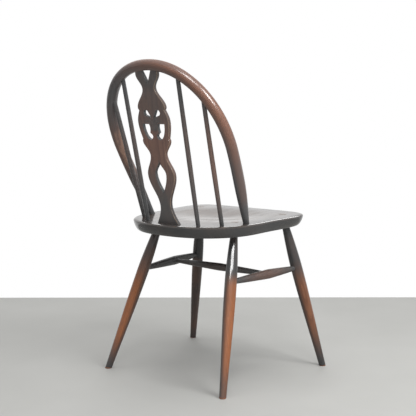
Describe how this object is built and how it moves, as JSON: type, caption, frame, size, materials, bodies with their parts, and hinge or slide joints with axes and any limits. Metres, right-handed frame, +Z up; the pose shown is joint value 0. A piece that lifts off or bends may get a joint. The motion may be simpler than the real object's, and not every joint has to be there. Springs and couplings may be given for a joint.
{
  "type": "windsor side chair",
  "caption": "Hoop-back Windsor side chair in dark stained wood: bent hoop, pierced thistle splat between slim sticks, saddled seat, splayed turned legs and an H stretcher.",
  "frame": {"origin": "on the floor, under the middle of the chair's bounding box", "axes": "+Z up, -Y towards the front of the chair, +X towards the sitter's left"},
  "size_m": [0.5104, 0.4885, 0.8598],
  "materials": {
    "red_brown_stain": "reddish brown stain under a worn gloss lacquer",
    "walnut_stain": "dark walnut stain under lacquer, gloss on the seat and satin on the splat",
    "black_brown_stain": "near-black brown stain under satin lacquer",
    "pale_wedge_wood": "stained end grain, a little paler than the tenon round it"
  },
  "bodies": {
    "root": {"back_hoop": "red_brown_stain", "leg_front_left": "red_brown_stain", "leg_front_right": "red_brown_stain", "leg_rear_left": "red_brown_stain", "leg_rear_right": "red_brown_stain", "seat": "walnut_stain", "splat": "walnut_stain", "stick_left_outer": "black_brown_stain", "stick_left_inner": "black_brown_stain", "stick_right_inner": "black_brown_stain", "stick_right_outer": "black_brown_stain", "side_stretcher_left": "black_brown_stain", "side_stretcher_right": "black_brown_stain", "cross_stretcher": "black_brown_stain", "leg_wedge_front_left": "pale_wedge_wood", "leg_wedge_front_right": "pale_wedge_wood", "leg_wedge_rear_left": "pale_wedge_wood", "leg_wedge_rear_right": "pale_wedge_wood", "hoop_wedge_left": "pale_wedge_wood", "hoop_wedge_right": "pale_wedge_wood"}
  },
  "joints": []
}
